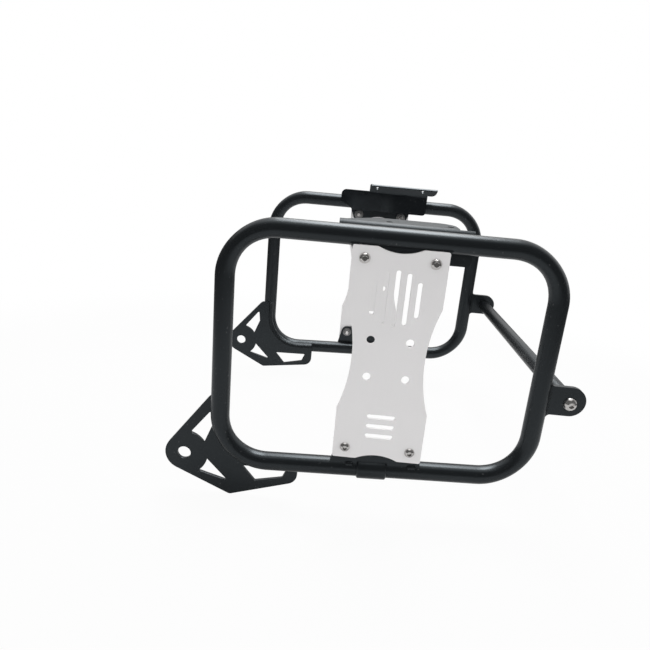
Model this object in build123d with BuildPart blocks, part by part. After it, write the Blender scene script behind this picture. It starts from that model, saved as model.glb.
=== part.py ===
"""Joined pair of motorbike pannier frames: two tube loops, their plates and a rear brace.

Millimetres. +Z is up, +X points to the rear of the bike, the left loop lies at -Y and the right one at +Y.
The origin is under the middle of the pair, level with the foot of the left front gusset.
"""

import math
import os

from build123d import *

# Loop tubes, measured on their centre lines
tube_od = 19.0
tube_wall = 1.6
loop_width = 313.0
loop_height = 237.2
loop_spacing = 372.0
bottom_rise = 11.0
bend_radius = 49.0
joint_gap = 1.0

# Sleeve over the joint of each loop
sleeve_length = 30.0
sleeve_wall = 1.9
sleeve_fit = 0.1
sleeve_chamfer = 1.4
joint_offset = 1.8

# Pieces welded to a tube bite into its round side by this much, less the root gap
weld_bite = 1.5
root_gap = 0.1

# Front gussets: circles that the outline wraps
gusset_thickness = 4.0
gusset_hole_d = 14.0
gusset_nose_r = 20.0
gusset_top_ahead = 8.2
gusset_top_r = 8.0
gusset_foot_r = 6.0
gusset_heel_r = 12.0
gusset_boss_r = 25.0
gusset_window_r = 1.2

# Places of those circles from the front upright and the bottom tube; the two sides differ
left_hole_ahead = 38.6
left_hole_drop = 8.5
left_top_rise = 52.2
left_foot_behind = 11.5
left_foot_drop = 46.8
left_heel_behind = 70.4
left_heel_drop = 22.4
right_hole_ahead = 43.5
right_hole_rise = 0.6
right_top_rise = 60.3
right_foot_ahead = 4.0
right_foot_drop = 36.0
right_heel_behind = 61.9
right_heel_drop = 21.2

# Cut-outs of the gussets: corners measured from the mount hole, and those of the last one from the heel
upper_window = ((6.8, 25.0), (27.6, 51.5), (29.3, 35.5), (18.5, 8.0))
lower_window = ((20.0, 0.0), (8.0, -18.0), (48.2, -29.5))
heel_window = ((-47.4, 5.2), (-32.8, -11.8), (-4.0, -5.4), (1.0, 6.5))

# Accessory plates
plate_offset = 4.8
plate_thickness = 2.5
plate_end_width = 89.0
plate_waist_width = 70.0
plate_flare = 54.0
plate_end_margin = 11.5
plate_foot_gap = 7.3
plate_edge_clear = 0.3
plate_inset = 3.0
plate_corner_r = 2.0
notch_chord = 42.0
notch_depth = 5.0
device_hole_d = 8.0
device_pitch = 37.5

# Cut-out fields of the plates: upright slots bounded by a circle, and level slots below
field_slot_width = 4.5
upper_field_r = 27.0
upper_field_rise = 60.5
upper_slot_pitch = 10.5
upper_slot_count = 5
lower_field_drop = 71.0
lower_slot_length = 28.0
lower_slot_pitch = 10.5
lower_slot_count = 3

# Tabs that carry the plates
plate_tab_thickness = 3.0
plate_tab_width = 92.0
plate_tab_foot = 4.0
ear_r = 9.0
arch_chord = 46.0
arch_depth = 7.5

# Plate screws (M6 button head) and flange nuts
screw_spacing = 65.0
screw_d = 6.0
screw_clear = 0.3
screw_length = 14.0
screw_head_d = 10.5
screw_head_height = 3.3
screw_socket = 4.0
screw_socket_depth = 2.0
nut_flats = 10.0
nut_flange_d = 13.6
nut_flange_height = 1.6
nut_height = 6.0
thread_fit = 0.1

# Form of every button-head screw, as shares of its height, its width and its shank
head_rim_share = 0.12
head_crown_share = 0.3
head_dome_share = 1.1
shank_chamfer_share = 0.1

# Rear tabs and the brace between them
rear_tab_thickness = 5.0
rear_tab_height = 30.0
rear_tab_reach = 30.5
rear_tab_rise = 94.3
rear_tab_flare = 4.0
brace_drop = 2.2
brace_od = 16.6
brace_wall = 1.6
plug_length = 24.0
plug_fit = 0.1
brace_screw_d = 8.0
brace_screw_clear = 0.3
brace_screw_length = 22.0
brace_head_d = 14.0
brace_head_height = 4.4
brace_socket = 5.0
brace_socket_depth = 2.6

# Top brackets: a leg on the inner side of the top tube, folded at its top, placed from the plate's middle
bracket_thickness = 4.0
bracket_bend_r = 3.0
bracket_rear = 67.5
bracket_top_rise = 18.5
bracket_drop = 8.5
bracket_nose_cut = 20.0
bracket_nose_rise = 11.0
bracket_end_r = 5.0

# Left bracket's level flange and the deeper ear at the rear of its leg
flange_top_rise = 12.0
flange_front = 58.5
flange_depth = 40.0
flange_rear = 53.5
flange_rear_r = 18.0
flange_step_r = 6.0
flange_step_ahead = 21.8
flange_step_depth = 30.0
flange_hole_d = 6.6
flange_hole_edge = 28.0
flange_hole_pitch = 58.0
flange_hole_behind = 7.0
ear_length = 24.0
ear_drop = 13.6

# Right bracket's leaning lip
lip_length = 12.5
lip_lean = 38.0
lip_bend_r = 9.0
lip_leg_front = 62.0
lip_front = 20.0
lip_rear = 80.8
lip_end_r = 8.0
lip_tip_r = 3.0
lip_leg_r = 4.0
lip_hole_d = 4.8
lip_hole_edge = 4.2
lip_hole_pitch = 68.0
lip_hole_shift = 25.0

# Places worked out from the sizes above
tube_r = tube_od / 2
front_reach = max(left_hole_ahead, right_hole_ahead) + gusset_nose_r
rear_reach = rear_tab_reach + rear_tab_height / 2
loop_x = (front_reach - rear_reach) / 2
bottom_z = max(left_foot_drop, right_foot_drop) + gusset_foot_r
top_z = bottom_z + loop_height
front_x = loop_x - loop_width / 2
rear_x = loop_x + loop_width / 2
joint_x = loop_x + joint_offset
plate_x = loop_x + plate_offset

plate_face = tube_r - plate_inset
plate_edge_drop = math.sqrt(tube_r**2 - plate_face**2) + plate_edge_clear
plate_top_z = top_z - plate_edge_drop
plate_bottom_z = bottom_z + plate_edge_drop + plate_foot_gap
plate_z = (plate_top_z + plate_bottom_z) / 2
plate_height = plate_top_z - plate_bottom_z
screw_rows = plate_height - 2 * plate_end_margin
screw_hole_r = screw_d / 2 + screw_clear

brace_x = rear_x + rear_tab_reach
brace_z = bottom_z + rear_tab_rise - brace_drop
weld_face = tube_r - weld_bite

# Planes of the left side: each one's normal points outward, away from the bike
loop_plane = Plane.XZ.offset(loop_spacing / 2)
plate_plane = Plane((plate_x, -loop_spacing / 2 - plate_face, plate_z), x_dir=(1, 0, 0), z_dir=(0, -1, 0))
brace_plane = Plane((brace_x, 0, brace_z), x_dir=(1, 0, 0), z_dir=(0, -1, 0))


def bottom_at(x):
    """Height of the bottom tube's centre line."""
    return bottom_z + bottom_rise * (x - loop_x) / loop_width


front_corner = (front_x, bottom_at(front_x))
rear_corner = (rear_x, bottom_at(rear_x))
joint_front = (joint_x - joint_gap / 2, bottom_at(joint_x - joint_gap / 2))
joint_rear = (joint_x + joint_gap / 2, bottom_at(joint_x + joint_gap / 2))

# Loop tube: a ring swept from one side of the joint right round to the other
with BuildPart() as loop_tube:
    with BuildLine(loop_plane) as loop_path:
        FilletPolyline(
            joint_front,
            front_corner,
            (front_x, top_z),
            (rear_x, top_z),
            rear_corner,
            joint_rear,
            radius=bend_radius,
        )
    with BuildSketch(Plane(loop_path.line @ 0, z_dir=loop_path.line % 0)):
        Circle(tube_r)
        Circle(tube_r - tube_wall, mode=Mode.SUBTRACT)
    sweep(path=loop_path.line)

# Joint sleeve, on the axis of the bottom tube
joint_plane = Plane(
    (joint_x, -loop_spacing / 2, bottom_at(joint_x)),
    z_dir=(loop_width, 0, bottom_rise),
)
with BuildPart() as joint_sleeve:
    with BuildSketch(joint_plane):
        Circle(tube_r + sleeve_fit / 2 + sleeve_wall)
    extrude(amount=sleeve_length / 2, both=True)
    chamfer(joint_sleeve.edges().filter_by(GeomType.CIRCLE), length=sleeve_chamfer)
    with BuildSketch(joint_plane):
        Circle(tube_r + sleeve_fit / 2)
    extrude(amount=sleeve_length, both=True, mode=Mode.SUBTRACT)

# Solid form of a tube with its sleeve, which the welded pieces are coped to
with BuildPart() as cope_form:
    with BuildSketch(Plane(loop_path.line @ 0, z_dir=loop_path.line % 0)):
        Circle(tube_r + root_gap)
    sweep(path=loop_path.line)
    with BuildSketch(joint_plane):
        Circle(tube_r + sleeve_fit / 2 + sleeve_wall + root_gap)
    extrude(amount=sleeve_length / 2 + root_gap, both=True)

# Front gussets, both made on the left side: a skin round circles, cut back to the tube's centre line
gusset_plane = loop_plane.offset(-weld_face)


def front_gusset(hole_place, top_rise, foot_place, heel_place):
    """Gusset plate with its mount hole, a boss round the hole and three cut-outs."""
    top_end_z = bottom_z + top_rise
    with BuildSketch(gusset_plane) as windows:
        for place, corners in ((hole_place, upper_window), (hole_place, lower_window), (heel_place, heel_window)):
            with BuildLine():
                Polyline(*[(place[0] + u, place[1] + v) for u, v in corners], close=True)
            make_face()
        fillet(windows.vertices(), radius=gusset_window_r)
        with Locations(hole_place):
            Circle(gusset_boss_r, mode=Mode.SUBTRACT)
    with BuildPart() as gusset:
        with BuildSketch(gusset_plane):
            with Locations(hole_place):
                Circle(gusset_nose_r)
            with Locations((front_x - gusset_top_ahead, top_end_z), (front_x, top_end_z)):
                Circle(gusset_top_r)
            with Locations(foot_place):
                Circle(gusset_foot_r)
            with Locations(heel_place, (heel_place[0], bottom_z)):
                Circle(gusset_heel_r)
            make_hull()
            with BuildLine():
                FilletPolyline(
                    (front_x, top_z),
                    front_corner,
                    rear_corner,
                    radius=bend_radius,
                )
                Polyline(rear_corner, (rear_x, top_z), (front_x, top_z))
            make_face(mode=Mode.SUBTRACT)
            with Locations(hole_place):
                Circle(gusset_hole_d / 2, mode=Mode.SUBTRACT)
        extrude(amount=-gusset_thickness)
        extrude(windows.sketch, amount=-gusset_thickness, mode=Mode.SUBTRACT)
        add(cope_form.part, mode=Mode.SUBTRACT)
    return gusset


left_front_gusset = front_gusset(
    (front_x - left_hole_ahead, bottom_z - left_hole_drop),
    left_top_rise,
    (front_x + left_foot_behind, bottom_z - left_foot_drop),
    (front_x + left_heel_behind, bottom_z - left_heel_drop),
)
gusset_of_right = front_gusset(
    (front_x - right_hole_ahead, bottom_z + right_hole_rise),
    right_top_rise,
    (front_x - right_foot_ahead, bottom_z - right_foot_drop),
    (front_x + right_heel_behind, bottom_z - right_heel_drop),
)
with BuildPart() as right_front_gusset:
    mirror(gusset_of_right.part, about=Plane.XZ)

# Accessory plate: hourglass sheet with a shallow notch in each end
half_end = plate_end_width / 2
half_height = plate_height / 2
half_waist = plate_waist_width / 2
notch_r = (notch_chord**2 / 4 + notch_depth**2) / (2 * notch_depth)
notch_v = half_height - notch_depth + notch_r
with BuildPart() as plate:
    with BuildSketch(plate_plane) as plate_sketch:
        with BuildLine():
            Polyline(
                (-half_end, plate_flare),
                (-half_end, half_height),
                (half_end, half_height),
                (half_end, plate_flare),
            )
            ThreePointArc((half_end, plate_flare), (half_waist, 0), (half_end, -plate_flare))
            Polyline(
                (half_end, -plate_flare),
                (half_end, -half_height),
                (-half_end, -half_height),
                (-half_end, -plate_flare),
            )
            ThreePointArc((-half_end, -plate_flare), (-half_waist, 0), (-half_end, plate_flare))
        make_face()
        with Locations((0, notch_v), (0, -notch_v)):
            Circle(notch_r, mode=Mode.SUBTRACT)
        fillet(plate_sketch.vertices(), radius=plate_corner_r)
        with GridLocations(screw_spacing, screw_rows, 2, 2):
            Circle(screw_hole_r, mode=Mode.SUBTRACT)
        with GridLocations(device_pitch, device_pitch, 2, 2):
            Circle(device_hole_d / 2, mode=Mode.SUBTRACT)
        for slot in range(upper_slot_count):
            slot_x = (slot - (upper_slot_count - 1) / 2) * upper_slot_pitch
            slot_length = 2 * math.sqrt(upper_field_r**2 - slot_x**2)
            with Locations((slot_x, upper_field_rise)):
                SlotOverall(slot_length, field_slot_width, rotation=90, mode=Mode.SUBTRACT)
        with Locations((0, -lower_field_drop)):
            with GridLocations(lower_slot_length, lower_slot_pitch, 1, lower_slot_count):
                SlotOverall(lower_slot_length, field_slot_width, mode=Mode.SUBTRACT)
    extrude(amount=plate_thickness)

# Plate tabs: two ears over a foot that is coped to the tube, with an arch between the ears
plate_tabs = {}
tab_plane = plate_plane.offset(-plate_tab_thickness)
arch_r = (arch_chord**2 / 4 + arch_depth**2) / (2 * arch_depth)
for tab_name, toward_tube, tube_z in (("top_tab", 1, top_z), ("bottom_tab", -1, bottom_z)):
    row_v = toward_tube * screw_rows / 2
    foot_v = tube_z - plate_z - toward_tube * plate_tab_foot
    free_v = row_v - toward_tube * ear_r
    with BuildPart() as plate_tab:
        with BuildSketch(tab_plane):
            with Locations((-screw_spacing / 2, row_v), (screw_spacing / 2, row_v)):
                Circle(ear_r)
            with Locations((0, foot_v)):
                Rectangle(plate_tab_width, 2 * plate_tab_foot)
            make_hull()
            with Locations((0, free_v + toward_tube * (arch_depth - arch_r))):
                Circle(arch_r, mode=Mode.SUBTRACT)
            with Locations((-screw_spacing / 2, row_v), (screw_spacing / 2, row_v)):
                Circle(screw_hole_r, mode=Mode.SUBTRACT)
        extrude(amount=plate_tab_thickness)
        add(cope_form.part, mode=Mode.SUBTRACT)
    plate_tabs[tab_name] = plate_tab


# Fasteners, each made once on +Z with its seat at the origin
def button_screw(shank_d, length, head_d, head_height, socket, socket_depth):
    """Button-head screw: domed head above the seat, plain shank below it, hexagon socket in the head."""
    rim = head_height * head_rim_share
    crown_r = head_d * head_crown_share
    dome_r = head_height * head_dome_share
    with BuildPart() as screw:
        with BuildSketch(Plane.XZ):
            with BuildLine():
                Polyline((0, head_height), (0, -length), (shank_d / 2, -length), (shank_d / 2, 0))
                Polyline((shank_d / 2, 0), (head_d / 2, 0), (head_d / 2, rim))
                RadiusArc((head_d / 2, rim), (crown_r, head_height), -dome_r)
                Line((crown_r, head_height), (0, head_height))
            make_face()
        revolve(axis=Axis.Z)
        chamfer(screw.edges().group_by(Axis.Z)[0], length=shank_d * shank_chamfer_share)
        with BuildSketch(Plane.XY.offset(head_height)):
            RegularPolygon(socket / 2, 6, major_radius=False)
        extrude(amount=-socket_depth, mode=Mode.SUBTRACT)
    return screw.part


plate_screw = button_screw(
    screw_d - thread_fit, screw_length, screw_head_d, screw_head_height, screw_socket, screw_socket_depth
)
brace_bolt = button_screw(
    brace_screw_d - thread_fit,
    brace_screw_length,
    brace_head_d,
    brace_head_height,
    brace_socket,
    brace_socket_depth,
)

with BuildPart() as flange_nut:
    with BuildSketch():
        RegularPolygon(nut_flats / 2, 6, major_radius=False)
    extrude(amount=-nut_height)
    with BuildSketch():
        Circle(nut_flange_d / 2)
    extrude(amount=-nut_flange_height)
    with BuildSketch():
        Circle(screw_d / 2)
    extrude(amount=-nut_height, mode=Mode.SUBTRACT)

with BuildPart(plate_plane.offset(plate_thickness)) as plate_screws:
    with GridLocations(screw_spacing, screw_rows, 2, 2):
        add(plate_screw)

with BuildPart(tab_plane) as plate_nuts:
    with GridLocations(screw_spacing, screw_rows, 2, 2):
        add(flange_nut.part)

# Rear tab: round-ended, in the plane of the loop, flared where it is coped to the rear upright
rear_tab_z = bottom_z + rear_tab_rise
rear_tab_root = math.sqrt(tube_r**2 - rear_tab_thickness**2 / 4)
with BuildPart() as rear_tab:
    with BuildSketch(loop_plane.offset(-rear_tab_thickness / 2)) as tab_outline:
        with Locations((rear_x + rear_tab_reach / 2, rear_tab_z)):
            Rectangle(rear_tab_reach, rear_tab_height)
        with Locations((rear_x + rear_tab_root / 2, rear_tab_z)):
            Rectangle(rear_tab_root, rear_tab_height + 4 * rear_tab_flare)
        inner_corners = tab_outline.vertices().filter_by_position(Axis.X, rear_x + tube_r / 2, rear_x + tube_r)
        fillet(inner_corners.sort_by(Axis.Y)[1:3], radius=rear_tab_flare)
        with Locations((brace_x, rear_tab_z)):
            Circle(rear_tab_height / 2)
        with Locations((brace_x, brace_z)):
            Circle(brace_screw_d / 2 + brace_screw_clear, mode=Mode.SUBTRACT)
    extrude(amount=rear_tab_thickness)
    add(cope_form.part, mode=Mode.SUBTRACT)

# Brace: a plain tube between the inner faces of the rear tabs, with a threaded plug in each end
brace_half = loop_spacing / 2 - rear_tab_thickness / 2
brace_bore_r = brace_od / 2 - brace_wall
with BuildPart() as brace_tube:
    with BuildSketch(brace_plane):
        Circle(brace_od / 2)
        Circle(brace_bore_r, mode=Mode.SUBTRACT)
    extrude(amount=brace_half, both=True)

with BuildPart() as brace_plug:
    with BuildSketch(brace_plane.offset(brace_half)):
        Circle(brace_bore_r - plug_fit / 2)
        Circle(brace_screw_d / 2, mode=Mode.SUBTRACT)
    extrude(amount=-plug_length)

with BuildPart(brace_plane.offset(brace_half + rear_tab_thickness)) as brace_screw:
    add(brace_bolt)

# Top brackets: folded sheet, each with a leg coped to the inner side of the top tube
leg_plane = loop_plane.offset(-weld_face)
leg_mid_y = -loop_spacing / 2 + weld_face + bracket_thickness / 2
leg_top_z = top_z + bracket_top_rise
leg_low_z = top_z - bracket_drop
fold_r = bracket_bend_r + bracket_thickness / 2
bracket_end = plate_x + bracket_rear

# Left bracket: the sheet turns inward to a level flange, which is deeper behind its step
flange_y = leg_mid_y + flange_depth
flange_top_z = top_z + flange_top_rise
flange_mid_z = flange_top_z - bracket_thickness / 2
step_x = plate_x - flange_step_ahead
flange_start = plate_x - flange_front
flange_end = plate_x + flange_rear
with BuildPart() as left_top_bracket:
    with BuildSketch(Plane.YZ.offset(flange_start)):
        with BuildLine():
            FilletPolyline(
                (leg_mid_y, leg_low_z - ear_drop),
                (leg_mid_y, flange_mid_z),
                (flange_y, flange_mid_z),
                radius=fold_r,
            )
        trace(line_width=bracket_thickness)
    extrude(amount=bracket_end - flange_start)
    with BuildSketch(Plane.XY.offset(flange_top_z)) as flange_plan:
        with BuildLine():
            Polyline(
                (flange_start, leg_mid_y - bracket_thickness),
                (flange_start, flange_y - flange_step_depth),
                (step_x - flange_step_depth, flange_y - flange_step_depth),
                (step_x, flange_y),
                (flange_end, flange_y),
                (flange_end, leg_mid_y + bracket_thickness / 2),
                (bracket_end, leg_mid_y + bracket_thickness / 2),
                (bracket_end, leg_mid_y - bracket_thickness),
                close=True,
            )
        make_face()
        fillet(flange_plan.vertices().group_by(Axis.Y)[-1].sort_by(Axis.X)[0], radius=flange_step_r)
        fillet(flange_plan.vertices().group_by(Axis.Y)[-1].sort_by(Axis.X)[-1], radius=flange_rear_r)
        rear_hole_x = flange_end - flange_hole_behind
        hole_y = flange_y - flange_hole_edge
        with Locations((rear_hole_x, hole_y), (rear_hole_x - flange_hole_pitch, hole_y)):
            Circle(flange_hole_d / 2, mode=Mode.SUBTRACT)
    extrude(amount=-(flange_top_z - leg_low_z + ear_drop), mode=Mode.INTERSECT)
    with BuildSketch(leg_plane) as flange_leg:
        with BuildLine():
            Polyline(
                (flange_start, flange_top_z),
                (flange_start, leg_low_z + bracket_nose_rise),
                (flange_start + bracket_nose_cut, leg_low_z),
                (bracket_end - ear_length - ear_drop, leg_low_z),
                (bracket_end - ear_length, leg_low_z - ear_drop),
                (bracket_end, leg_low_z - ear_drop),
                (bracket_end, flange_top_z),
                close=True,
            )
        make_face()
        fillet(flange_leg.vertices().group_by(Axis.Y)[0], radius=bracket_end_r)
    extrude(amount=-(flange_depth + bracket_thickness), mode=Mode.INTERSECT)
    add(cope_form.part, mode=Mode.SUBTRACT)

# Right bracket, made on the left side and mirrored: the sheet bends over to a lip that leans inward
lean = math.radians(lip_lean)
lip_tip_y = leg_mid_y + lip_length * math.sin(lean)
lip_tip_z = leg_top_z + lip_length * math.cos(lean)
lip_hole_y = lip_tip_y - lip_hole_edge * math.sin(lean)
lip_hole_z = lip_tip_z - lip_hole_edge * math.cos(lean)
lip_plane = Plane(
    (plate_x + lip_hole_shift, lip_hole_y, lip_hole_z),
    x_dir=(1, 0, 0),
    z_dir=(0, -math.cos(lean), math.sin(lean)),
)
lip_leg_start = plate_x - lip_leg_front
lip_start = plate_x - lip_front
lip_end = plate_x + lip_rear
with BuildPart() as lip_bracket:
    with BuildSketch(Plane.YZ.offset(lip_leg_start)):
        with BuildLine():
            FilletPolyline(
                (leg_mid_y, leg_low_z),
                (leg_mid_y, leg_top_z),
                (lip_tip_y, lip_tip_z),
                radius=lip_bend_r + bracket_thickness / 2,
            )
        trace(line_width=bracket_thickness)
    extrude(amount=lip_end - lip_leg_start)
    with BuildSketch(loop_plane) as lip_outline:
        with BuildLine():
            Polyline(
                (lip_leg_start, leg_top_z),
                (lip_leg_start, leg_low_z + bracket_nose_rise),
                (lip_leg_start + bracket_nose_cut, leg_low_z),
                (bracket_end, leg_low_z),
                (bracket_end, leg_top_z),
                (lip_end, leg_top_z),
                (lip_end, lip_tip_z + bracket_thickness),
                (lip_start, lip_tip_z + bracket_thickness),
                (lip_start, leg_top_z),
                close=True,
            )
        make_face()
        fillet(lip_outline.vertices().group_by(Axis.Y)[-2].sort_by(Axis.X)[0], radius=lip_leg_r)
        fillet(lip_outline.vertices().group_by(Axis.Y)[-2].sort_by(Axis.X)[-1], radius=lip_end_r)
        fillet(lip_outline.vertices().group_by(Axis.Y)[0].sort_by(Axis.X)[-1], radius=bracket_end_r)
    extrude(amount=lip_length + tube_od, both=True, mode=Mode.INTERSECT)
    lip_ends = lip_bracket.edges().filter_by(Axis(lip_plane.origin, lip_plane.z_dir))
    fillet(lip_ends.group_by(Axis.Z)[-1], radius=lip_tip_r)
    with BuildSketch(lip_plane):
        with GridLocations(lip_hole_pitch, lip_hole_pitch, 2, 1):
            Circle(lip_hole_d / 2)
    extrude(amount=bracket_thickness, both=True, mode=Mode.SUBTRACT)
    add(cope_form.part, mode=Mode.SUBTRACT)

with BuildPart() as right_top_bracket:
    mirror(lip_bracket.part, about=Plane.XZ)

pieces = {
    "loop_tube": loop_tube,
    "joint_sleeve": joint_sleeve,
    "plate": plate,
    "top_tab": plate_tabs["top_tab"],
    "bottom_tab": plate_tabs["bottom_tab"],
    "plate_screws": plate_screws,
    "plate_nuts": plate_nuts,
    "rear_tab": rear_tab,
    "brace_plug": brace_plug,
    "brace_screw": brace_screw,
}

os.makedirs("parts", exist_ok=True)
for name, piece in pieces.items():
    with BuildPart() as twin:
        mirror(piece.part, about=Plane.XZ)
    piece.part.label = f"left_{name}"
    twin.part.label = f"right_{name}"
    export_step(piece.part, f"parts/left_{name}.step")
    export_step(twin.part, f"parts/right_{name}.step")

singles = {
    "left_front_gusset": left_front_gusset,
    "right_front_gusset": right_front_gusset,
    "left_top_bracket": left_top_bracket,
    "right_top_bracket": right_top_bracket,
    "brace_tube": brace_tube,
}
for name, piece in singles.items():
    piece.part.label = name
    export_step(piece.part, f"parts/{name}.step")
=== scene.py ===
"""Looks of a joined pair of motorbike pannier frames.

Black tube loops, silver plates, weld beads and bright screws, on a pale sheet in a white room.
"""

import math
from collections import namedtuple

import bmesh
import bpy
from mathutils import Matrix, Vector


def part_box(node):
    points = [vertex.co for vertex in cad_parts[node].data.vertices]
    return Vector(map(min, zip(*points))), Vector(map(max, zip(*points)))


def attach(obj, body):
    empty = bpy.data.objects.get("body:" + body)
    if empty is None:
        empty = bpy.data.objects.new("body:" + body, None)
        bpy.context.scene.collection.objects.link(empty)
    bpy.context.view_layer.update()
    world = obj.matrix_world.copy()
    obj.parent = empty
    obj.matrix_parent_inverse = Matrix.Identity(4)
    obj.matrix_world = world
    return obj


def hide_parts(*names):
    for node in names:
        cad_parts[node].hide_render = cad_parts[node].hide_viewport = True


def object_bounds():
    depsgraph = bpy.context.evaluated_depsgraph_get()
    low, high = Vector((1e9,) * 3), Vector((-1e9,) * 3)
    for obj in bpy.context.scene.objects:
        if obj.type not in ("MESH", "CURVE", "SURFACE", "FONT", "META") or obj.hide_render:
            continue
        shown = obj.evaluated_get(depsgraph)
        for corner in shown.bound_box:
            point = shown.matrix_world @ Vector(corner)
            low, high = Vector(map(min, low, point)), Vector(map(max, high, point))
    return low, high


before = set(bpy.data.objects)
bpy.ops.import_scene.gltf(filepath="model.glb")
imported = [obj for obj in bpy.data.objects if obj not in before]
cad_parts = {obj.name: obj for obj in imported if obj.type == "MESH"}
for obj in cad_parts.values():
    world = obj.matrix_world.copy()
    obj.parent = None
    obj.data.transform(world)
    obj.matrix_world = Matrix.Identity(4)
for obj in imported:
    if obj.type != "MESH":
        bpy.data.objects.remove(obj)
cad_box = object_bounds()

MM = 0.001
SIDES = ("left", "right")

# Tube loops
BEND_RADIUS = 49 * MM
BOTTOM_RISE = 11 * MM
BEND_FLATTENING = 0.09
TUBE_SIDES = 64
BEND_STEPS = 28

# Sleeve over each joint, and the rear brace
SLEEVE_LENGTH = 30 * MM
SLEEVE_CUT = 1.4 * MM
SLEEVE_PLAY = 0.05 * MM
BRACE_WALL = 1.6 * MM
BRACE_CUT = 0.5 * MM

# Gusset seams: start above the front corner and end behind it, the way in from the tube's centre line,
# and the bead's lean in degrees
GUSSET_SEAM = {"left": (60.2 * MM, 82.4 * MM), "right": (68.3 * MM, 73.9 * MM)}
SEAM_INSIDE = 3.3 * MM
SEAM_STEPS = 14
SEAM_LEAN = 50

# Weld beads: half width and half height of each kind
GUSSET_BEAD = (4.2 * MM, 1.3 * MM)
BOTTOM_TAB_BEAD = (2.2 * MM, 2.8 * MM)
TOP_TAB_BEAD = (1.8 * MM, 1.8 * MM)
REAR_TAB_BEAD = (1.5 * MM, 1.5 * MM)
BRACKET_BEAD = (1.9 * MM, 1.9 * MM)

# Where the beads lie: from the loop's middle, past and under the tabs' ends, and along the brackets
BOTTOM_TAB_SPANS = ((-26 * MM, -17 * MM), (37 * MM, 47 * MM))
TOP_TAB_PAST = 1 * MM
TOP_TAB_UNDER = 9 * MM
REAR_TAB_SHORT = 1 * MM
BRACKET_SHARES = (0.06, 0.42, 0.70)
BRACKET_BEAD_LENGTH = 18 * MM
BEAD_SINK = 0.4 * MM
WELD_FACE = 8 * MM

# Ripples of the beads, and how they thin out towards their ends
RIPPLE = 1.6 * MM
RIPPLE_SWELL = 0.07
RINGS_PER_RIPPLE = 5
LEAST_RINGS = 6
BEAD_SIDES = 14
TIP_SHARE = 0.3
TIP_GROWTH = 0.9
TIP_LENGTH = 2 * MM

# Screws
Screw = namedtuple("Screw", "head_width head_height shank_width length socket_width socket_depth pitch")
PLATE_SCREW = Screw(10.5 * MM, 3.3 * MM, 5.9 * MM, 14 * MM, 4 * MM, 2 * MM, 1.0 * MM)
BRACE_SCREW = Screw(14 * MM, 4.4 * MM, 7.9 * MM, 22 * MM, 5 * MM, 2.6 * MM, 1.25 * MM)
SCREW_SIDES = 48
DOME_STEPS = 9
RIM_SHARE = 0.12
RIM_ROUND = 0.2 * MM
CROWN_FLAT = 0.5 * MM
SOCKET_LEAD_WIDTH = 0.25 * MM
SOCKET_LEAD_DEPTH = 0.15 * MM
SOCKET_REACH = 0.3 * MM
THREAD_DEPTH = 0.55

# Edge rounding of flat pieces
PLATE_EASE = 0.35 * MM
COAT_EASE = 0.6 * MM
FOLD_EASE = 0.3 * MM
NUT_EASE = 0.4 * MM

# Angles between faces: still one plane, merged in a copy, rounded over, and kept crisp in the shading
ONE_PLANE = math.radians(0.3)
MERGED = math.radians(0.4)
SHARP = math.radians(32)
CRISP = math.radians(38)
CRISP_PIPE = math.radians(50)
CRISP_SCREW = math.radians(32)
CRISP_BEAD = math.radians(80)

# Right bracket: lean and edge of its lip, and how its leg reaches and is rounded past the drawn corners
LIP_LEAN = math.radians(38)
LIP_EASE = 1.6 * MM
LIP_BAND = 7 * MM
LIP_EDGE_LENGTH = 40 * MM
LEG_DROP = 2.5 * MM
NOSE_ROUND = 7.5 * MM
DRAWN_NOSE_ROUND = 4 * MM
DRAWN_TIP_ROUND = 5 * MM
DRAWN_HEEL_ROUND = 5 * MM

# Distances within which corners count as being at a limit or at a place
NEAR = 0.05 * MM
TOUCHING = 0.1 * MM

# Colours of the finishes, darkest and lightest
COAT_TONES = ((0.0036, 0.0044, 0.0052, 1), (0.0058, 0.0067, 0.0077, 1))
COAT_SHEEN = (0.84, 0.94, 1.0, 1)
DUST = (0.10, 0.10, 0.10, 1)
SILVER_TONES = ((0.70, 0.69, 0.692, 1), (0.76, 0.75, 0.752, 1))
BRIGHT_TONES = ((0.64, 0.62, 0.60, 1), (0.76, 0.75, 0.74, 1))
ZINC_TONES = ((0.20, 0.20, 0.205, 1), (0.34, 0.335, 0.33, 1))
WHITE = (1, 1, 1, 1)

# Camera: place, turn to the side, look down and roll, with the picture's focal length over its width
EYE = Vector((-40.53, -706.38, 360.37)) * MM
YAW = math.radians(-0.978)
PITCH = math.radians(16.975)
ROLL = math.radians(5.074)
FOCAL_SHARE = 567.6 / 650
FILM_WIDTH = 36
CLIP_START = 0.01

# Pale sheet: half its side, the gap under the object, its middle and the reach over which it fades,
# its greys far out and near (a painted pool of light, dark far out), and the share of it that takes a
# shadow
SHEET_HALF = 4.0
SHEET_GAP = 0.5 * MM
SHEET_MIDDLE = (0.0, -0.25, 0.0)
SHEET_REACH = (0.55, 1.05)
PAINTED_POOL_GREYS = ((0.08, 0.08, 0.08, 1), (0.5, 0.5, 0.5, 1))
SHADOW_SHARE = 0.05

# White room, by heading: where the rear, the walls and the ceiling begin and are full
REAR_BAND = (-0.25, 0.35)
WALL_BAND = (0.05, 0.42)
WALL_TILT = 0.3
CEILING_BAND = (0.8, 0.97)

# How dim the metal sees the low walls, and the light that matt surfaces take from the walls and from above
DIM_WALL = 0.12
SOFT_BAND = (0.3, 0.8)
SOFT_LIGHT = (2.05, 0.5)
REAR_DIMMING = 0.45

# Lamps: name, place, target, width, depth and power
SOFTBOXES = (
    ("overhead_softbox", (0.07, 0.12, 1.30), (0.07, 0.12, 0.2), 0.55, 0.55, 10),
    ("rear_softbox", (0.05, 0.72, 1.30), (0.05, 0.72, 0.2), 0.75, 0.65, 8),
)


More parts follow.
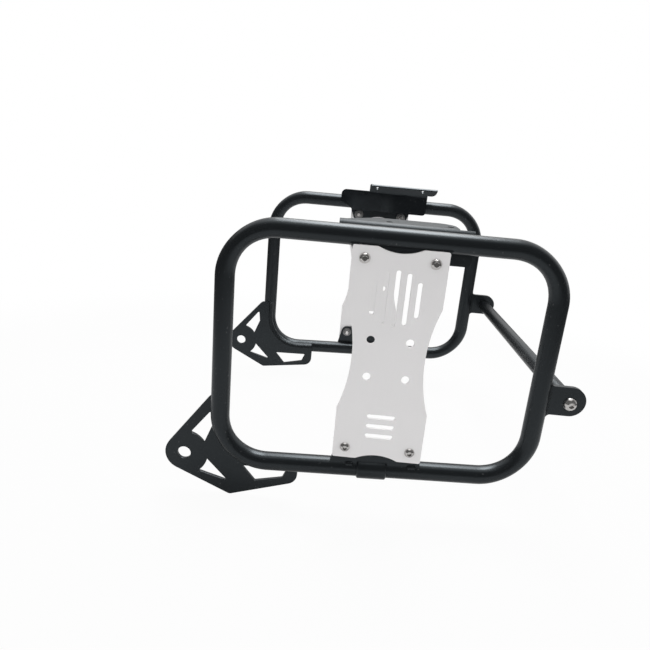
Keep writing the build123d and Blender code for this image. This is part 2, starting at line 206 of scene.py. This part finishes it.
class Value:
    """A socket of a finish. Sums on values write their own Math nodes."""

    def __init__(self, finish, socket):
        self.finish = finish
        self.socket = socket

    def join(self, operation, first, second):
        return self.finish.node("ShaderNodeMath", {"operation": operation}, {0: first, 1: second})

    def __add__(self, other):
        return self.join("ADD", self, other)

    def __radd__(self, other):
        return self.join("ADD", other, self)

    def __sub__(self, other):
        return self.join("SUBTRACT", self, other)

    def __rsub__(self, other):
        return self.join("SUBTRACT", other, self)

    def __mul__(self, other):
        return self.join("MULTIPLY", self, other)

    def __rmul__(self, other):
        return self.join("MULTIPLY", other, self)


class Finish:
    """One material or world, with the methods that add its nodes."""

    def __init__(self, owner):
        self.owner = owner
        owner.use_nodes = True
        self.tree = owner.node_tree

    def node(self, kind, settings=None, sockets=None, output=0):
        made = self.tree.nodes.new(kind)
        for name, value in (settings or {}).items():
            setattr(made, name, value)
        for name, value in (sockets or {}).items():
            self.feed(made.inputs[name], value)
        return Value(self, made.outputs[output])

    def feed(self, socket, value):
        if isinstance(value, Value):
            self.tree.links.new(value.socket, socket)
        else:
            socket.default_value = value

    def surface(self, **sockets):
        shader = self.tree.nodes["Principled BSDF"]
        for name, value in sockets.items():
            self.feed(shader.inputs[name.replace("_", " ")], value)

    def place(self):
        return self.node("ShaderNodeTexCoord", output="Object")

    def rays(self):
        """Whether a ray comes from the camera, from a gloss or through glass, each 0 or 1."""
        path = self.node("ShaderNodeLightPath").socket.node
        kinds = ("Camera", "Glossy", "Transmission")
        return [Value(self, path.outputs["Is %s Ray" % kind]) for kind in kinds]

    def noise(self, scale, detail=2.0, roughness=0.5, stretch=(1, 1, 1)):
        """Noise of about one blotch to each 1 / scale metres, from 0 to 1."""
        where = self.node("ShaderNodeMapping", {}, {"Vector": self.place(), "Scale": stretch})
        sockets = {"Vector": where, "Scale": scale, "Detail": detail, "Roughness": roughness}
        return self.node("ShaderNodeTexNoise", {}, sockets)

    def step(self, value, low, high, start=0.0, end=1.0):
        """Value mapped smoothly from low and high to start and end."""
        sockets = {"Value": value, "From Min": low, "From Max": high, "To Min": start, "To Max": end}
        return self.node("ShaderNodeMapRange", {"interpolation_type": "SMOOTHSTEP"}, sockets)

    def blend(self, share, first, second):
        sockets = {"Factor": share, "A": first, "B": second}
        return self.node("ShaderNodeMix", {"data_type": "RGBA"}, sockets, output="Result")

    def bump(self, height, distance, strength):
        sockets = {"Height": height, "Distance": distance, "Strength": strength}
        return self.node("ShaderNodeBump", {}, sockets)


def powder_coat(name, dullness, peel_depth):
    """Black powder coat: fine orange peel, slow changes of gloss, and a few grains of dust."""
    coat = Finish(bpy.data.materials.new(name))
    peel = coat.noise(1100, 3.0, 0.55)
    slow = coat.noise(28, 3.0)
    grain = coat.noise(2600, 1.0)
    dust = coat.step(coat.noise(420, 1.0), 0.74, 0.765)
    black = coat.blend(slow, *COAT_TONES)
    coat.surface(
        Base_Color=coat.blend(dust * 0.5, black, DUST),
        Roughness=dullness + slow * 0.06 + grain * 0.04,
        Normal=coat.bump(peel * 0.7 + grain * 0.3, 0.05 * MM, peel_depth),
        Specular_IOR_Level=0.5,
        Specular_Tint=COAT_SHEEN,
    )
    return coat.owner


def satin_plate():
    """Fine blasted stainless sheet with a faint rolling direction."""
    sheet = Finish(bpy.data.materials.new("satin_silver_sheet"))
    slow = sheet.noise(16, 3.0)
    grain = sheet.noise(3200, 2.0, 0.7)
    rolled = sheet.noise(900, 2.0, 0.6, (1, 1, 0.03))
    sheet.surface(
        Base_Color=sheet.blend(0.6 * slow + 0.25 * rolled + 0.15 * grain, *SILVER_TONES),
        Metallic=0.25,
        Roughness=0.48 + rolled * 0.06 + grain * 0.06,
        Normal=sheet.bump(grain * 0.6 + rolled * 0.4, 0.02 * MM, 0.3),
    )
    return sheet.owner


def bright_steel():
    """Polished stainless fasteners with faint turning marks and a little handling haze."""
    steel = Finish(bpy.data.materials.new("polished_stainless"))
    haze = steel.noise(600, 3.0)
    marks = steel.noise(2400, 2.0, 0.6)
    steel.surface(
        Base_Color=steel.blend(haze, *BRIGHT_TONES),
        Metallic=1.0,
        Roughness=0.12 + haze * 0.08,
        Normal=steel.bump(marks, 0.01 * MM, 0.25),
    )
    return steel.owner


def dull_zinc():
    """Zinc-plated nuts and plugs: greyer than the screws, with a cloudy bloom."""
    zinc = Finish(bpy.data.materials.new("dull_zinc"))
    cloud = zinc.noise(260, 4.0, 0.6)
    fleck = zinc.noise(1800, 2.0)
    zinc.surface(
        Base_Color=zinc.blend(cloud, *ZINC_TONES),
        Metallic=0.9,
        Roughness=0.34 + cloud * 0.14,
        Normal=zinc.bump(fleck, 0.02 * MM, 0.3),
    )
    return zinc.owner


BLACK = powder_coat("satin_black_powder_coat", 0.24, 0.4)
DULL_BLACK = powder_coat("dull_black_powder_coat", 0.42, 0.4)
GLOSS_BLACK = powder_coat("gloss_black_powder_coat", 0.06, 0.2)
SILVER = satin_plate()
BRIGHT = bright_steel()
ZINC = dull_zinc()


def add_piece(name, form, finish, node=None):
    """A finished bmesh becomes a piece on the one body, in place of a node where one is named."""
    mesh = bpy.data.meshes.new(name)
    form.to_mesh(mesh)
    form.free()
    mesh.materials.append(finish)
    piece = bpy.data.objects.new(name, mesh)
    bpy.context.scene.collection.objects.link(piece)
    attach(piece, "root")
    if node:
        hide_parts(node)


def box_of(node):
    """Lowest and highest corner of a node's box."""
    return [Vector(corner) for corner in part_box(node)]


def smooth_all(form, crisp_angle=CRISP):
    """Smooth shading, with flat faces of more than four corners and steep edges kept crisp."""
    for face in form.faces:
        face.smooth = len(face.verts) <= 4
    for edge in form.edges:
        edge.smooth = edge.calc_face_angle(0) < crisp_angle


def merged_copy(node):
    """A copy of a CAD node's mesh as one skin, each flat area in as few faces as it takes."""
    form = bmesh.new()
    form.from_mesh(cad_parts[node].data)
    bmesh.ops.remove_doubles(form, verts=form.verts, dist=0.002 * MM)
    bmesh.ops.dissolve_limit(form, angle_limit=MERGED, verts=form.verts, edges=form.edges)
    return form


def sharp_edges(form):
    return [edge for edge in form.edges if edge.is_manifold and edge.calc_face_angle() > SHARP]


def round_over(form, edges, size, segments, clamp=True):
    bmesh.ops.bevel(
        form,
        geom=edges,
        offset=size,
        offset_type="OFFSET",
        affect="EDGES",
        segments=segments,
        profile=0.5,
        material=-1,
        clamp_overlap=clamp,
    )


def flat_piece(form, node, finish):
    """A piece of sheet in a node's place: smooth round its edges, flat where its faces lie in one plane."""
    smooth_all(form)
    for face in form.faces:
        if any(edge.calc_face_angle(1.0) < ONE_PLANE for edge in face.edges):
            face.smooth = False
    add_piece(node + "_eased", form, finish, node)


def eased_piece(node, finish, ease, segments=2):
    """A merged copy of a CAD node, with its sharp edges rounded over, in the node's place."""
    form = merged_copy(node)
    round_over(form, sharp_edges(form), ease, segments)
    flat_piece(form, node, finish)


def square_corner(form, verts, across, corner):
    """Pulls a drawn rounding back to a square corner, on each face of the sheet."""
    middle = sum(vert.co.dot(across) for vert in verts) / len(verts)
    below = [vert for vert in verts if vert.co.dot(across) < middle]
    above = [vert for vert in verts if vert.co.dot(across) > middle]
    for face_verts in (below, above):
        depth = face_verts[0].co.dot(across)
        spot = corner + across * (depth - corner.dot(across))
        bmesh.ops.pointmerge(form, verts=face_verts, merge_co=spot)
    bmesh.ops.dissolve_degenerate(form, dist=0.01 * MM, edges=form.edges)


def lies_at(edge, x, z):
    """Whether an edge runs through the sheet at this place of its outline."""
    return all(math.hypot(vert.co.x - x, vert.co.z - z) < TOUCHING for vert in edge.verts)


def lipped_bracket(node):
    """Right top bracket: a rounder front corner, a lower foot and a rounder lip edge than drawn."""
    form = merged_copy(node)
    low, high = box_of(node)
    nose = [vert for vert in form.verts if vert.co.x < low.x + DRAWN_NOSE_ROUND + NEAR]
    leg_top = max(vert.co.z for vert in nose)
    nose = [vert for vert in nose if vert.co.z > leg_top - DRAWN_NOSE_ROUND - NEAR]
    square_corner(form, nose, Vector((0, 1, 0)), Vector((low.x, 0, leg_top)))
    rise = Vector((0, -math.sin(LIP_LEAN), math.cos(LIP_LEAN)))
    across = Vector((0, math.cos(LIP_LEAN), math.sin(LIP_LEAN)))
    lip_end = max(vert.co.dot(rise) for vert in form.verts)
    tip = [vert for vert in form.verts if vert.co.x > high.x - DRAWN_TIP_ROUND - NEAR]
    tip = [vert for vert in tip if vert.co.dot(rise) > lip_end - DRAWN_TIP_ROUND - NEAR]
    square_corner(form, tip, across, rise * lip_end + Vector((high.x, 0, 0)))
    foot = [vert for vert in form.verts if vert.co.z < low.z + DRAWN_HEEL_ROUND + NEAR]
    bmesh.ops.translate(form, verts=foot, vec=(0, 0, -LEG_DROP))
    corner = [edge for edge in form.edges if lies_at(edge, low.x, leg_top)]
    round_over(form, corner, NOSE_ROUND, segments=8)
    below_lip = [e for e in sharp_edges(form) if all(v.co.dot(rise) < lip_end - LIP_BAND for v in e.verts)]
    round_over(form, below_lip, FOLD_EASE, segments=3)
    lip_edges = [edge for edge in sharp_edges(form) if edge.calc_length() > LIP_EDGE_LENGTH]
    lip_edges = [e for e in lip_edges if all(v.co.dot(rise) > lip_end - NEAR for v in e.verts)]
    round_over(form, lip_edges, LIP_EASE, segments=5, clamp=False)
    bmesh.ops.dissolve_degenerate(form, dist=0.02 * MM, edges=form.edges)
    flat_piece(form, node, GLOSS_BLACK)


class Loop:
    """Centre line of one tube loop, read from its CAD boxes."""

    def __init__(self, side):
        low, high = box_of(side + "_loop_tube")
        sleeve = box_of(side + "_joint_sleeve")
        self.side = side
        self.out = -1 if side == "left" else 1
        self.joint = (sleeve[0] + sleeve[1]) / 2
        self.y = (low.y + high.y) / 2
        self.r = (high.y - low.y) / 2
        self.front = low.x + self.r
        self.rear = high.x - self.r
        self.middle = (self.front + self.rear) / 2
        self.top = high.z - self.r
        self.slope = BOTTOM_RISE / (self.rear - self.front)

    def bottom(self, x):
        return self.joint.z + self.slope * (x - self.joint.x)

    def corners(self):
        places = ((self.front, self.bottom(self.front)), (self.front, self.top))
        places += ((self.rear, self.top), (self.rear, self.bottom(self.rear)))
        return [Vector((x, self.y, z)) for x, z in places]

    def outer_face(self, node):
        """How far out a piece of this side reaches."""
        low, high = box_of(self.side + "_" + node)
        return low.y if self.out < 0 else high.y


def ring_edges(geometry):
    return [item for item in geometry if isinstance(item, bmesh.types.BMEdge)]


def ring_verts(geometry):
    return [item for item in geometry if isinstance(item, bmesh.types.BMVert)]


def extruded(form, ring, run):
    """The ring's copy, drawn out along a straight run."""
    drawn = bmesh.ops.extrude_edge_only(form, edges=ring)["geom"]
    bmesh.ops.translate(form, verts=ring_verts(drawn), vec=run)
    return ring_edges(drawn)


def flatten_bend(verts, centre, start, turn):
    """A bent tube is pressed a little flat across the bend, most of all half-way round."""
    for vert in verts:
        arm = vert.co - centre
        arm.y = 0
        share = arm.angle(start) / turn
        squeeze = 1 - BEND_FLATTENING * math.sin(math.pi * min(1, share)) ** 2
        vert.co += arm.normalized() * (BEND_RADIUS - arm.length) * (1 - squeeze)


def loop_tube(loop):
    """The tube starts at the joint, runs forward and goes right round the four bends."""
    form = bmesh.new()
    corners = loop.corners()
    place = loop.joint.copy()
    heading = (corners[0] - place).normalized()
    turned = heading.to_track_quat("Z", "Y").to_matrix().to_4x4()
    spot = Matrix.Translation(place) @ turned
    bmesh.ops.create_circle(form, segments=TUBE_SIDES, radius=loop.r, matrix=spot)
    ring = list(form.edges)
    bmesh.ops.contextual_create(form, geom=ring)
    for corner, onward in zip(corners, corners[1:] + [loop.joint]):
        leaving = (onward - corner).normalized()
        turn = heading.angle(leaving)
        tangent = BEND_RADIUS * math.tan(turn / 2)
        run = corner - heading * tangent - place
        ring = extruded(form, ring, run)
        place = corner - heading * tangent
        axis = heading.cross(leaving).normalized()
        centre = place + axis.cross(heading) * BEND_RADIUS
        before = set(form.verts)
        bent = bmesh.ops.spin(form, geom=ring, cent=centre, axis=axis, angle=turn, steps=BEND_STEPS)
        flatten_bend(set(form.verts) - before, centre, place - centre, turn)
        ring = ring_edges(bent["geom_last"])
        place = corner + leaving * tangent
        heading = leaving
    ring = extruded(form, ring, loop.joint - place)
    bmesh.ops.contextual_create(form, geom=ring)
    bmesh.ops.recalc_face_normals(form, faces=form.faces)
    smooth_all(form)
    add_piece(loop.side + "_bent_tube", form, BLACK, loop.side + "_loop_tube")


def spun(form, outline, steps, closed=False):
    """An outline of radius and height spun right round the Z axis; gives the new corners."""
    before = set(form.verts)
    dots = [form.verts.new((r, 0, z)) for r, z in outline]
    onward = dots[1:] + dots[:1] if closed else dots[1:]
    edges = [form.edges.new(pair) for pair in zip(dots, onward)]
    bmesh.ops.spin(
        form,
        geom=edges + dots,
        cent=(0, 0, 0),
        axis=(0, 0, 1),
        angle=2 * math.pi,
        steps=steps,
        use_merge=True,
    )
    bmesh.ops.remove_doubles(form, verts=list(set(form.verts) - before), dist=0.001 * MM)
    return list(set(form.verts) - before)


def facing(place, heading):
    """Matrix that stands a piece made on +Z at a place, along a heading."""
    return Matrix.Translation(place) @ Vector(heading).to_track_quat("Z", "X").to_matrix().to_4x4()


def screw_profile(screw):
    """Half outline of a button-head screw from the socket's floor to the tip, seat at height 0."""
    top = screw.head_height
    floor = top - screw.socket_depth
    rim = top * RIM_SHARE
    edge = screw.head_width / 2
    wall = screw.socket_width / 2
    crown = wall + CROWN_FLAT
    sunk = (crown**2 + top**2 - edge**2 - rim**2) / (2 * (top - rim))
    ball = math.hypot(crown, top - sunk)
    outline = [(0, floor), (wall, floor), (wall, top - SOCKET_LEAD_DEPTH)]
    outline += [(wall + SOCKET_LEAD_WIDTH, top), (crown, top)]
    for step in range(1, DOME_STEPS):
        reach = crown + (edge - crown) * step / DOME_STEPS
        outline.append((reach, sunk + math.sqrt(ball**2 - reach**2)))
    shank = screw.shank_width / 2
    outline += [(edge, rim), (edge - RIM_ROUND, 0), (shank, 0)]
    root = shank - THREAD_DEPTH * screw.pitch
    depth = 0.0
    while depth + 1.5 * screw.pitch < screw.length:
        outline += [(root, -depth - screw.pitch / 2), (shank, -depth - screw.pitch)]
        depth += screw.pitch
    outline += [(root, -screw.length), (0, -screw.length)]
    return outline


def add_screw(form, screw, seat, out):
    """One screw in a form that may hold several: an outline spun round, its socket pulled to a hexagon."""
    made = spun(form, screw_profile(screw), SCREW_SIDES)
    wall = screw.socket_width / 2
    for vert in made:
        radius = math.hypot(vert.co.x, vert.co.y)
        in_socket = vert.co.z > screw.head_height - screw.socket_depth - TOUCHING
        if abs(radius - wall) < SOCKET_REACH and in_socket:
            turn = math.atan2(vert.co.y, vert.co.x) % (math.pi / 3) - math.pi / 6
            grown = 1 / math.cos(turn)
            vert.co.x *= grown
            vert.co.y *= grown
    bmesh.ops.transform(form, matrix=facing(seat, out), verts=made)


def screw_set(node, screw, seats, out):
    form = bmesh.new()
    for seat in seats:
        add_screw(form, screw, seat, out)
    bmesh.ops.recalc_face_normals(form, faces=form.faces)
    smooth_all(form, CRISP_SCREW)
    add_piece(node + "_turned", form, BRIGHT, node)


def pipe(name, node, bore, end_cut, middle, heading, half_length, radius):
    """A straight pipe, its ends cut to a small slope that is rounded over where it meets the wall."""
    form = bmesh.new()
    quarter = end_cut / 4
    slight = quarter / 3
    most = end_cut - quarter
    end = []
    for inward, back in ((end_cut, 0), (most, slight), (slight, most), (0, end_cut)):
        end.append((radius - inward, half_length - back))
    outline = [(bore, half_length)] + end + [(r, -z) for r, z in reversed(end)] + [(bore, -half_length)]
    made = spun(form, outline, TUBE_SIDES, closed=True)
    bmesh.ops.transform(form, matrix=facing(middle, heading), verts=made)
    bmesh.ops.recalc_face_normals(form, faces=form.faces)
    smooth_all(form, CRISP_PIPE)
    add_piece(name, form, BLACK, node)


def joint_sleeve(loop):
    """Collar over the joint, along the slope of the bottom tube."""
    node = loop.side + "_joint_sleeve"
    low, high = box_of(node)
    radius = (high.y - low.y) / 2
    along_tube = (1, 0, loop.slope)
    bore = loop.r + SLEEVE_PLAY
    name = loop.side + "_sleeve_turned"
    pipe(name, node, bore, SLEEVE_CUT, loop.joint, along_tube, SLEEVE_LENGTH / 2, radius)


def brace():
    """Straight tube between the rear tabs."""
    node = "brace_tube"
    low, high = box_of(node)
    radius = (high.z - low.z) / 2
    middle = (low + high) / 2
    half_length = (high.y - low.y) / 2
    pipe("brace_turned", node, radius - BRACE_WALL, BRACE_CUT, middle, (0, 1, 0), half_length, radius)


def along(route, distance):
    """Place and heading at a distance along a route of points."""
    for a, b in zip(route, route[1:]):
        step = (b - a).length
        if distance <= step:
            return a.lerp(b, distance / step), (b - a).normalized()
        distance -= step
    return route[-1].copy(), (route[-1] - route[-2]).normalized()


def bead_spot(route, distance, section, swell):
    """Place, turn and size of a bead's ring: first axis across the loop's plane, the next in it."""
    place, heading = along(route, distance)
    across = Vector((0, 1, 0))
    turned = Matrix((across, heading.cross(across), heading)).transposed().to_4x4()
    return Matrix.Translation(place) @ turned @ section @ Matrix.Diagonal((swell, swell, 1, 1))


def draw_bead(form, route, section):
    """A ring drawn along a route, swelling and shrinking in ripples."""
    length = sum((b - a).length for a, b in zip(route, route[1:]))
    steps = max(LEAST_RINGS, round(length / RIPPLE * RINGS_PER_RIPPLE))
    spot = bead_spot(route, 0, section, TIP_SHARE)
    bmesh.ops.create_circle(form, segments=BEAD_SIDES, radius=1, cap_ends=False, matrix=spot)
    form.edges.ensure_lookup_table()
    ring = form.edges[-BEAD_SIDES:]
    bmesh.ops.contextual_create(form, geom=ring)
    for step in range(1, steps + 1):
        travelled = length * step / steps
        to_end = min(travelled, length - travelled) / TIP_LENGTH
        ripple = 1 + RIPPLE_SWELL * math.cos(2 * math.pi * step / RINGS_PER_RIPPLE)
        swell = min(1, TIP_SHARE + TIP_GROWTH * to_end) * ripple
        ring = extruded(form, ring, (0, 0, 0))
        onward = bead_spot(route, travelled, section, swell)
        moved = list({vert for edge in ring for vert in edge.verts})
        bmesh.ops.transform(form, matrix=onward @ spot.inverted(), verts=moved)
        spot = onward
    bmesh.ops.contextual_create(form, geom=ring)


def bead(name, routes, size, lean=0.0):
    """Weld beads under the coat, one to each route."""
    form = bmesh.new()
    section = Matrix.Rotation(lean, 4, "Z") @ Matrix.Diagonal((*size, 1, 1))
    for route in routes:
        draw_bead(form, route, section)
    bmesh.ops.recalc_face_normals(form, faces=form.faces)
    smooth_all(form, CRISP_BEAD)
    add_piece(name, form, BLACK)


def gusset_seam(loop):
    """Route along the crown of the front bend, where the gusset ends on the tube."""
    crown = loop.y - loop.out * loop.r
    corner = loop.corners()[0]
    drop = (Vector((loop.rear, loop.y, loop.bottom(loop.rear))) - corner).normalized()
    rise = Vector((0, 0, 1))
    sweep = math.pi - drop.angle(rise)
    tangent = BEND_RADIUS * math.tan(sweep / 2)
    middle = corner + (drop + rise).normalized() * BEND_RADIUS / math.sin(drop.angle(rise) / 2)
    start = (corner + rise * tangent - middle) * (1 - SEAM_INSIDE / BEND_RADIUS)
    top_rise, heel_reach = GUSSET_SEAM[loop.side]
    route = [Vector((loop.front + SEAM_INSIDE, crown, loop.bottom(loop.middle) + top_rise))]
    for step in range(SEAM_STEPS + 1):
        arm = Matrix.Rotation(-sweep * step / SEAM_STEPS, 3, "Y") @ start
        route.append(Vector((middle.x + arm.x, crown, middle.z + arm.z)))
    end = loop.front + heel_reach
    route.append(Vector((end, crown, loop.bottom(end) + SEAM_INSIDE)))
    return route


def plate_tab_welds(loop):
    """Beads where the ears of the bottom and top tabs meet their tubes."""
    face = loop.outer_face("bottom_tab")
    lift = math.sqrt(loop.r**2 - (face - loop.y) ** 2)
    routes = []
    for start, end in BOTTOM_TAB_SPANS:
        xs = (loop.middle + start, loop.middle + end)
        routes.append([Vector((x, face, loop.bottom(x) + lift - BEAD_SINK)) for x in xs])
    bead(loop.side + "_bottom_tab_weld", routes, BOTTOM_TAB_BEAD)
    low, high = box_of(loop.side + "_top_tab")
    front = (low.x - TOP_TAB_PAST, low.x + TOP_TAB_UNDER)
    rear = (high.x - TOP_TAB_UNDER, high.x + TOP_TAB_PAST)
    z = loop.top - lift + BEAD_SINK
    routes = [[Vector((x, face, z)) for x in xs] for xs in (front, rear)]
    bead(loop.side + "_top_tab_weld", routes, TOP_TAB_BEAD)


def rear_tab_weld(loop):
    """A bead down each face of the rear tab."""
    low, high = box_of(loop.side + "_rear_tab")
    routes = []
    for y in (low.y, high.y):
        x = loop.rear + math.sqrt(loop.r**2 - (y - loop.y) ** 2)
        routes.append([Vector((x, y, z)) for z in (low.z + REAR_TAB_SHORT, high.z - REAR_TAB_SHORT)])
    bead(loop.side + "_rear_tab_weld", routes, REAR_TAB_BEAD)


def bracket_weld(loop):
    """Short beads along the top bracket's leg."""
    low, high = box_of(loop.side + "_top_bracket")
    y = loop.y - loop.out * WELD_FACE
    z = loop.top + math.sqrt(loop.r**2 - WELD_FACE**2)
    routes = []
    for share in BRACKET_SHARES:
        start = low.x + share * (high.x - low.x)
        routes.append([Vector((x, y, z)) for x in (start, start + BRACKET_BEAD_LENGTH)])
    bead(loop.side + "_bracket_weld", routes, BRACKET_BEAD)


def plate_screws(loop):
    """Four screws, at the corners of the box round their heads."""
    node = loop.side + "_plate_screws"
    low, high = box_of(node)
    head = PLATE_SCREW.head_width / 2
    face = loop.outer_face("plate")
    zs = (low.z + head, high.z - head)
    seats = [Vector((x, face, z)) for x in (low.x + head, high.x - head) for z in zs]
    screw_set(node, PLATE_SCREW, seats, (0, loop.out, 0))


def brace_screw(loop):
    node = loop.side + "_brace_screw"
    low, high = box_of(node)
    seat = Vector(((low.x + high.x) / 2, loop.outer_face("rear_tab"), (low.z + high.z) / 2))
    screw_set(node, BRACE_SCREW, [seat], (0, loop.out, 0))


def dress_side(side):
    loop = Loop(side)
    loop_tube(loop)
    lean = math.radians(90 - SEAM_LEAN * loop.out)
    bead(side + "_gusset_weld", [gusset_seam(loop)], GUSSET_BEAD, lean)
    plate_tab_welds(loop)
    rear_tab_weld(loop)
    bracket_weld(loop)
    eased_piece(side + "_plate", SILVER, PLATE_EASE)
    joint_sleeve(loop)
    for node in ("front_gusset", "top_tab", "bottom_tab", "rear_tab"):
        eased_piece(side + "_" + node, BLACK, COAT_EASE, segments=3)
    eased_piece(side + "_plate_nuts", ZINC, NUT_EASE)
    plate_screws(loop)
    brace_screw(loop)
    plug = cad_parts[side + "_brace_plug"]
    plug.data.materials.clear()
    plug.data.materials.append(ZINC)


def pale_floor():
    """Pale sheet under the object. It takes a soft shadow and fades into the white room further out. Its
    own grey, which the metal sees in reflections, is a painted pool of light: pale near the object and dark
    further out.
    """
    form = bmesh.new()
    bmesh.ops.create_grid(form, x_segments=1, y_segments=1, size=SHEET_HALF)
    bmesh.ops.translate(form, verts=form.verts, vec=(0, 0, cad_box[0][2] - SHEET_GAP))
    mesh = bpy.data.meshes.new("floor")
    form.to_mesh(mesh)
    form.free()
    paint = Finish(bpy.data.materials.new("pale_floor"))
    tree = paint.tree
    tree.nodes.remove(tree.nodes["Principled BSDF"])
    sockets = {0: paint.place(), 1: SHEET_MIDDLE}
    away = paint.node("ShaderNodeVectorMath", {"operation": "DISTANCE"}, sockets, output="Value")
    near = paint.step(away, *SHEET_REACH, 1.0, 0.0)
    seen, gloss, through = paint.rays()
    shown = seen * (1 - SHADOW_SHARE * near) + (gloss + through) * (SHADOW_SHARE * near)
    # Painted pool of light: the sheet's grey darkens from near the object to far out
    sheet = paint.blend(near, *PAINTED_POOL_GREYS)
    matt = paint.node("ShaderNodeBsdfDiffuse", {}, {"Color": sheet})
    glow = paint.node("ShaderNodeEmission", {}, {"Color": WHITE, "Strength": 1.0})
    mixed = paint.node("ShaderNodeMixShader", {}, {0: shown, 1: matt, 2: glow})
    paint.feed(tree.nodes["Material Output"].inputs["Surface"], mixed)
    mesh.materials.append(paint.owner)
    floor = bpy.data.objects.new("floor", mesh)
    bpy.context.scene.collection.objects.link(floor)


def studio_world():
    """White room. In the metal its low walls and the side the picture is taken from are dim."""
    world = bpy.data.worlds.new("studio")
    bpy.context.scene.world = world
    room = Finish(world)
    heading = room.node("ShaderNodeTexCoord", output="Generated")
    back = room.node("ShaderNodeSeparateXYZ", {}, {"Vector": heading}, output="Y")
    up = Value(room, back.socket.node.outputs["Z"])
    right = Value(room, back.socket.node.outputs["X"])
    rear = room.step(back, *REAR_BAND)
    wall = room.step(up + WALL_TILT * right, *WALL_BAND)
    ceiling = room.step(up, *CEILING_BAND)
    mirrored = DIM_WALL + (1 - DIM_WALL) * (rear * wall) + ceiling
    soft = room.step(up, *SOFT_BAND, *SOFT_LIGHT) * (1 - REAR_DIMMING * rear)
    seen, gloss, through = room.rays()
    strength = seen + (gloss + through) * mirrored + (1 - seen - gloss - through) * soft
    background = room.tree.nodes["Background"]
    room.feed(background.inputs["Color"], WHITE)
    room.feed(background.inputs["Strength"], strength)


def area_lamp(name, place, target, width, depth, power):
    lamp = bpy.data.lights.new(name, "AREA")
    lamp.shape = "RECTANGLE"
    lamp.size = width
    lamp.size_y = depth
    lamp.energy = power
    holder = bpy.data.objects.new(name, lamp)
    holder.location = place
    holder.rotation_euler = (Vector(target) - Vector(place)).to_track_quat("-Z", "Y").to_euler()
    bpy.context.scene.collection.objects.link(holder)


def camera():
    level = math.cos(PITCH)
    ahead = Vector((math.sin(YAW) * level, math.cos(YAW) * level, -math.sin(PITCH)))
    right = Vector((math.cos(YAW), -math.sin(YAW), 0))
    up = right.cross(ahead)
    side = math.cos(ROLL) * right + math.sin(ROLL) * up
    top = math.cos(ROLL) * up - math.sin(ROLL) * right
    lens = bpy.data.cameras.new("camera")
    lens.sensor_width = FILM_WIDTH
    lens.lens = FILM_WIDTH * FOCAL_SHARE
    lens.clip_start = CLIP_START
    eye = bpy.data.objects.new("camera", lens)
    eye.matrix_world = Matrix.Translation(EYE) @ Matrix((side, top, -ahead)).transposed().to_4x4()
    bpy.context.scene.collection.objects.link(eye)
    bpy.context.scene.camera = eye


for side in SIDES:
    dress_side(side)
eased_piece("left_top_bracket", DULL_BLACK, FOLD_EASE, segments=3)
lipped_bracket("right_top_bracket")
brace()

pale_floor()
studio_world()
for softbox in SOFTBOXES:
    area_lamp(*softbox)
camera()
bpy.context.scene.view_settings.view_transform = "Standard"
